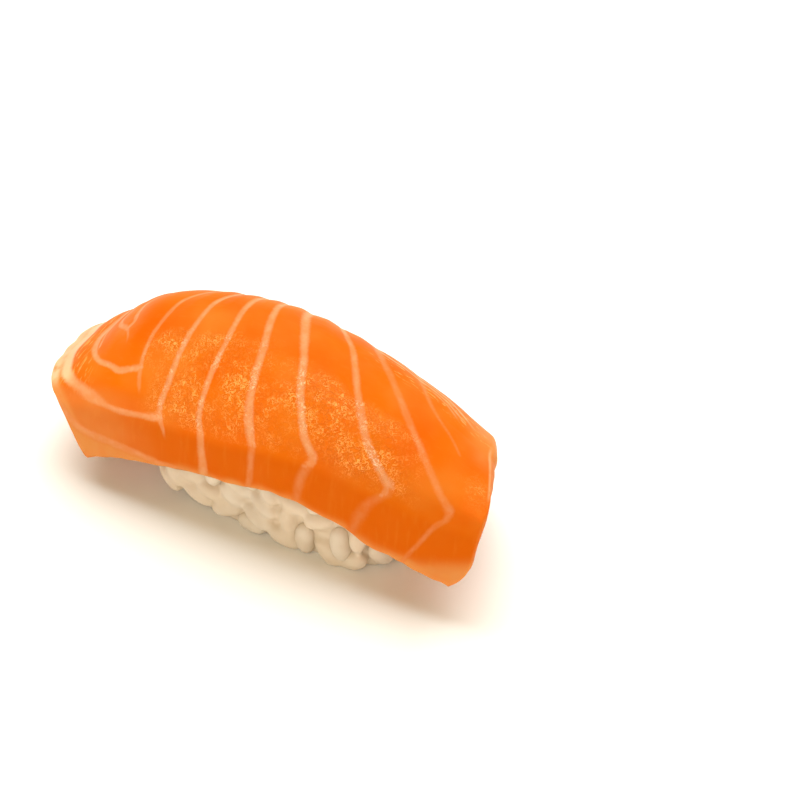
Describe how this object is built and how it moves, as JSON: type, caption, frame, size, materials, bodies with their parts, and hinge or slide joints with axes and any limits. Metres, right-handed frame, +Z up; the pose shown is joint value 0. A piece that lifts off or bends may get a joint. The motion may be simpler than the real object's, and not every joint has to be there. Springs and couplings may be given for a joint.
{
  "type": "salmon nigiri",
  "caption": "Piece of nigiri: a hand-pressed ball of rice under a thick slice of raw salmon with pale fat lines, cut on the bias and draped over both ends.",
  "frame": {"origin": "on the table, under the middle of the ball of rice, on its flat underside", "axes": "+Z up; +X along the slice from its thin tail end to its thick head end; +Y from the near cut side to the far one"},
  "size_m": [0.0831, 0.0323, 0.0306],
  "materials": {
    "rice": null,
    "salmon": null
  },
  "bodies": {
    "root": {"rice": "rice", "salmon_slice": "salmon"}
  },
  "joints": []
}
